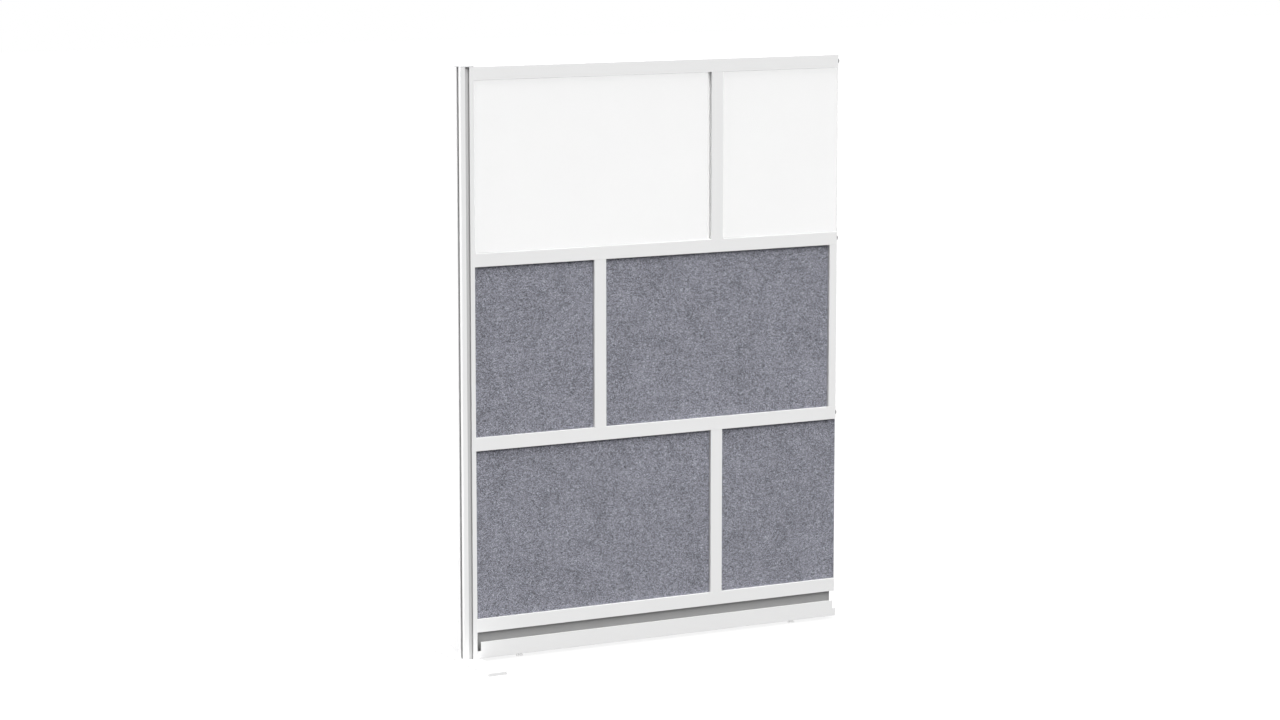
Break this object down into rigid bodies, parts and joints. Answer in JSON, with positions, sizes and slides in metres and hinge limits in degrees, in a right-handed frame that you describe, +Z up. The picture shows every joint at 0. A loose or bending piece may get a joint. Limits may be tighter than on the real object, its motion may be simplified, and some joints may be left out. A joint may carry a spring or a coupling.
{
  "type": "modular room divider",
  "caption": "Free-standing modular divider wall: slotted post on a foot plate, rails and uprights holding frosted and felt panels in staggered rows over a raised base.",
  "frame": {"origin": "on the floor, under the centre of the post", "axes": "+X along the wall from the post to its free end, +Y to the back, +Z up"},
  "size_m": [1.31, 0.4, 1.778],
  "materials": {
    "white_coat": "smooth white powder coat on aluminium, satin",
    "white_steel": "smooth white powder coat on steel, satin",
    "cap_grey": "moulded, fine matte grain",
    "zinc": "bright zinc plate",
    "spigot_grey": "glass-filled moulding",
    "frosted_acrylic": "frosted on both faces, cut edges polished",
    "clear_gasket": "soft clear extrusion",
    "grey_felt": "pressed polyester felt, mottled grey with pale and dark fibres",
    "seal_rubber": "matte strip",
    "dark_steel": "blackened",
    "plug_black": "glass-filled moulding with a threaded bore",
    "spine_aluminium": "mill finish, slightly dull",
    "wheel_black": "moulded, gripped rim",
    "foot_white": "moulded white, steel stud inside"
  },
  "bodies": {
    "divider": {"post": "white_coat", "post_cap": "cap_grey", "foot_plate": "white_steel", "foot_screws": "zinc", "top_rail": "white_coat", "upper_rail": "white_coat", "lower_rail": "white_coat", "bottom_rail": "white_coat", "top_mullion": "white_coat", "middle_mullion": "white_coat", "lower_mullion": "white_coat", "end_stile": "white_coat", "mullion_spigots": "spigot_grey", "stile_spigots": "spigot_grey", "wide_frosted_panel": "frosted_acrylic", "narrow_frosted_panel": "frosted_acrylic", "wide_panel_gasket": "clear_gasket", "narrow_panel_gasket": "clear_gasket", "middle_narrow_felt": "grey_felt", "middle_wide_felt": "grey_felt", "lower_wide_felt": "grey_felt", "lower_narrow_felt": "grey_felt", "slot_seals": "seal_rubber", "post_bolts": "dark_steel", "free_end_bolts": "dark_steel", "post_end_plugs": "plug_black", "free_end_plugs": "plug_black", "base_spine": "spine_aluminium", "base_grub_screws": "dark_steel", "front_kick_plate": "white_coat", "back_kick_plate": "white_coat", "jack_brackets": "spigot_grey", "bracket_screws": "zinc"},
    "post_end_wheel": {"post_end_wheel": "wheel_black"},
    "post_end_foot": {"post_end_foot": "foot_white"},
    "free_end_wheel": {"free_end_wheel": "wheel_black"},
    "free_end_foot": {"free_end_foot": "foot_white"}
  },
  "joints": [
    {"name": "post_end_wheel_turn", "type": "hinge", "parent": "divider", "child": "post_end_wheel", "pos_m": [0.1713, 0, 0.031], "axis": [0, 0, 1], "range_deg": [0, 2880]},
    {"name": "post_end_foot_lift", "type": "slide", "parent": "divider", "child": "post_end_foot", "axis": [0, 0, -1], "range_m": [0, 0.012]},
    {"name": "free_end_wheel_turn", "type": "hinge", "parent": "divider", "child": "free_end_wheel", "pos_m": [1.1233, 0, 0.031], "axis": [0, 0, 1], "range_deg": [0, 2880]},
    {"name": "free_end_foot_lift", "type": "slide", "parent": "divider", "child": "free_end_foot", "axis": [0, 0, -1], "range_m": [0, 0.012]}
  ],
  "couplings": [
    {"joint": "post_end_foot_lift", "follows": "post_end_wheel_turn", "m_per_rad": 0.00023873},
    {"joint": "free_end_foot_lift", "follows": "free_end_wheel_turn", "m_per_rad": 0.00023873}
  ]
}
